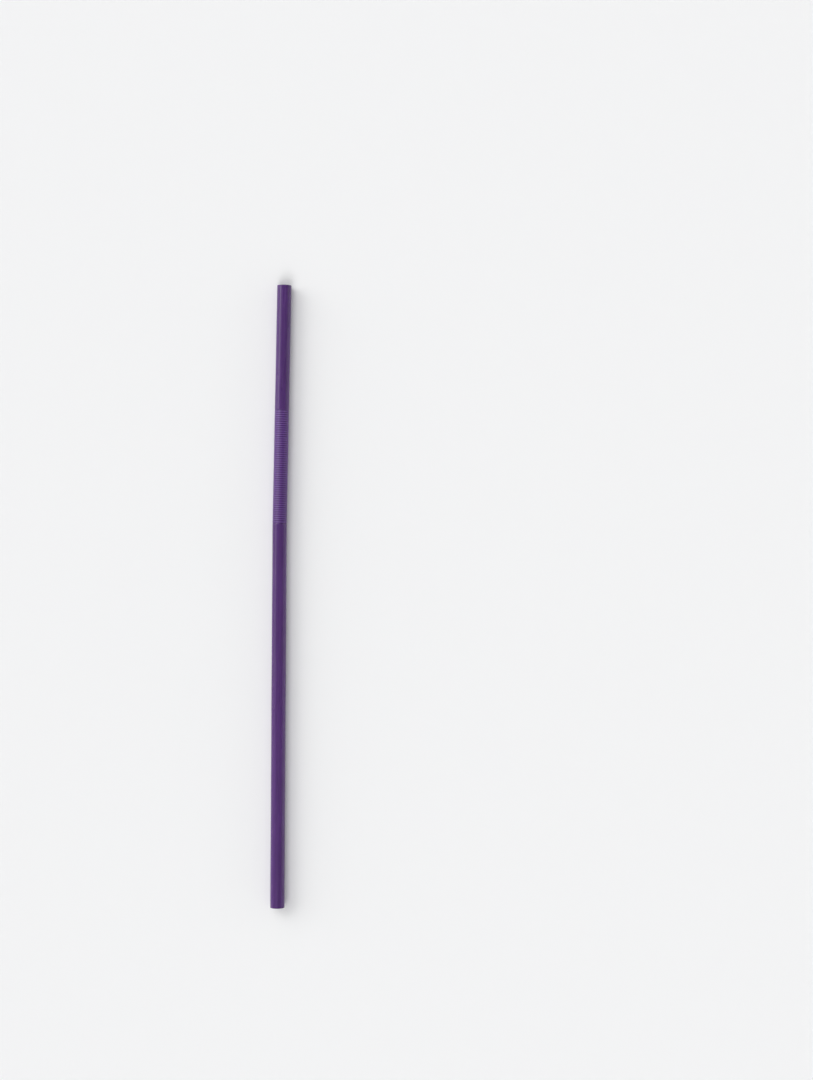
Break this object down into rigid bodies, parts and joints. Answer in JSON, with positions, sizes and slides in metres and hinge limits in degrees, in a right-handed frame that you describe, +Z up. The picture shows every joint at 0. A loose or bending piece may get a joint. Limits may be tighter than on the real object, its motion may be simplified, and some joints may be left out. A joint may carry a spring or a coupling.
{
  "type": "flexible drinking straw",
  "caption": "Purple plastic drinking straw with a band of fine bellows near its drinking end, pushed together and almost straight.",
  "frame": {"origin": "on the surface that the straw lies on, under the middle of its bounding box", "axes": "+Y along the straw towards its drinking end, +Z up from the surface it lies on, and the slight bend at the bellows lies off to the -X side"},
  "size_m": [0.007, 0.26, 0.0064],
  "materials": {
    "straw_plastic": "gloss, thin and slightly see-through"
  },
  "bodies": {
    "root": {"straw": "straw_plastic"}
  },
  "joints": []
}
